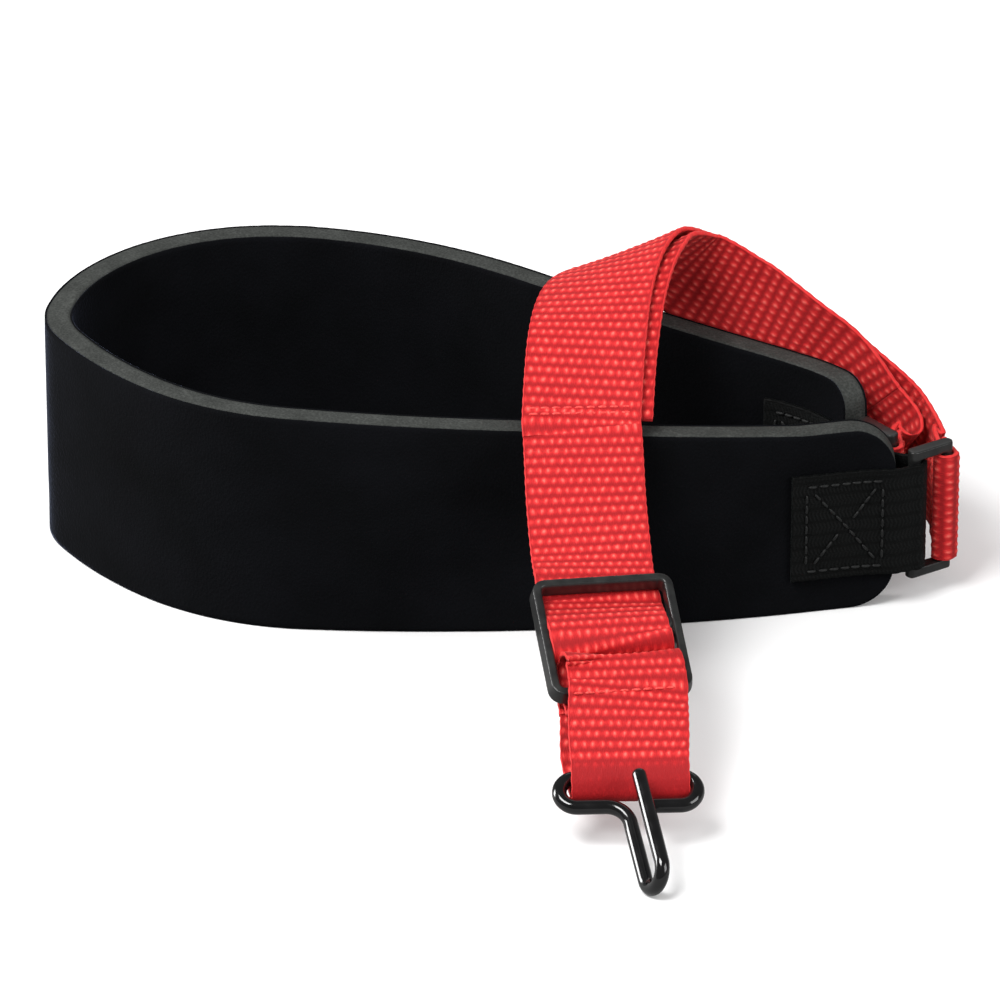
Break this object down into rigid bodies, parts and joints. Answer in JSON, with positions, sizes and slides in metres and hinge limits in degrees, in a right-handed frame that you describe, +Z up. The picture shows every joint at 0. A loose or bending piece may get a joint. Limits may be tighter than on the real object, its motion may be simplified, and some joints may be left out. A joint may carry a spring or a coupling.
{
  "type": "saxophone neck strap",
  "caption": "Padded neck loop with webbing tabs, rings, a webbing strap with a sliding adjuster, and a coated wire hook.",
  "frame": {"origin": "on the floor, in the middle of the pad loop's footprint", "axes": "+X towards the rings, -Y towards the hook, +Z up"},
  "size_m": [0.1933, 0.205, 0.07],
  "materials": {
    "foam": "open cut edge of closed-cell foam",
    "pad_fabric": "matt knitted face",
    "tab_webbing": "matt ribbed webbing",
    "red_webbing": "raised dot weave with a slight sheen",
    "black_thread": "twisted thread",
    "red_thread": "twisted thread",
    "black_plastic": "satin moulded",
    "hook_coating": "smooth dipped gloss",
    "steel": "drawn wire"
  },
  "bodies": {
    "neck_pad": {"pad_foam": "foam", "pad_outer_fabric": "pad_fabric", "pad_inner_fabric": "pad_fabric", "front_tab": "tab_webbing", "rear_tab": "tab_webbing", "front_tab_stitching": "black_thread", "rear_tab_stitching": "black_thread", "main_strap_arch": "red_webbing", "yoke_strap_arch": "red_webbing", "yoke_seam_stitching": "red_thread"},
    "front_ring": {"front_ring": "black_plastic", "main_strap_end": "red_webbing", "main_strap_end_stitching": "red_thread"},
    "rear_ring": {"rear_ring": "black_plastic", "yoke_strap_end": "red_webbing", "yoke_strap_end_stitching": "red_thread"},
    "strap_run": {"main_strap_run": "red_webbing"},
    "slider": {"slider_frame": "black_plastic", "slider_strap_thread": "red_webbing", "main_strap_tail": "red_webbing", "tail_stitching": "red_thread"},
    "hook_loop": {"hook_loop": "red_webbing"},
    "hook": {"hook_wire": "steel", "hook_coating": "hook_coating"}
  },
  "joints": [
    {"name": "front_ring_swing", "type": "hinge", "parent": "neck_pad", "child": "front_ring", "pos_m": [0.094, -0.03056, 0.0206], "axis": [0, 0, 1], "range_deg": [-6, 6]},
    {"name": "rear_ring_swing", "type": "hinge", "parent": "neck_pad", "child": "rear_ring", "pos_m": [0.08421, -0.01653, 0.0206], "axis": [0, 0, 1], "range_deg": [-6, 6]},
    {"name": "strap_swing", "type": "hinge", "parent": "neck_pad", "child": "strap_run", "pos_m": [0.02403, -0.0455, 0.04944], "axis": [-0.999, -0.0436, 0], "range_deg": [0, 50]},
    {"name": "slider_slide", "type": "slide", "parent": "strap_run", "child": "slider", "axis": [-0.039, 0.8941, 0.4462], "range_m": [0, 0.02]},
    {"name": "hook_loop_slide", "type": "slide", "parent": "slider", "child": "hook_loop", "axis": [-0.039, 0.8941, 0.4462], "range_m": [-0.01, 0]},
    {"name": "hook_swing", "type": "hinge", "parent": "hook_loop", "child": "hook", "pos_m": [0.0327, -0.1295, 0.013], "axis": [0.999, 0.0436, 0], "range_deg": [-60, 60]}
  ],
  "couplings": [
    {"joint": "hook_loop_slide", "follows": "slider_slide", "ratio": -0.5}
  ]
}
